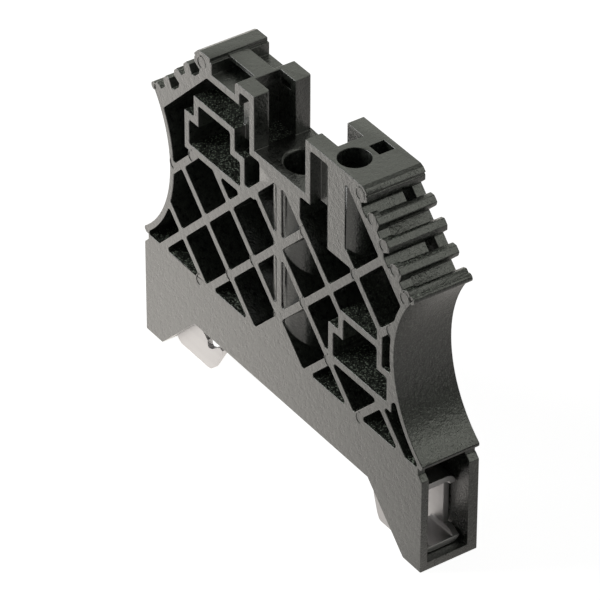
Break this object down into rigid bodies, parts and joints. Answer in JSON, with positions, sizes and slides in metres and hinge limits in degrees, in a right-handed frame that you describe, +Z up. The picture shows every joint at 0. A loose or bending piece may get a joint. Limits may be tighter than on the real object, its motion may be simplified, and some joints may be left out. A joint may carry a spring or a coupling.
{
  "type": "din rail end stop",
  "caption": "End stop for a 35 mm mounting rail: ribbed plastic body on feet, with a screw that pulls up steel claws under the rail's edges.",
  "frame": {"origin": "on the ground plane under the feet, midway along the length and midway through the thickness", "axes": "+X along the length and along the rail's width, +Y through the thickness from the open ribbed side to the closed side, which is along the rail, +Z up from the rail"},
  "size_m": [0.056, 0.0078, 0.0465],
  "materials": {
    "black_plastic": "fine moulded texture",
    "plated_steel": "zinc plated"
  },
  "bodies": {
    "housing": {"body": "black_plastic"},
    "screw": {"clamp_screw": "plated_steel"},
    "clamp": {"threaded_plate": "plated_steel", "left_claw": "plated_steel", "right_claw": "plated_steel"}
  },
  "joints": [
    {"name": "screw_turn", "type": "hinge", "parent": "housing", "child": "screw", "pos_m": [0, -0.00017, 0.02], "axis": [0, 0, 1], "range_deg": [-1080, 0]},
    {"name": "clamp_lift", "type": "slide", "parent": "housing", "child": "clamp", "axis": [0, 0, 1], "range_m": [0, 0.0015]}
  ],
  "couplings": [
    {"joint": "screw_turn", "follows": "clamp_lift", "rad_per_m": -12566}
  ]
}
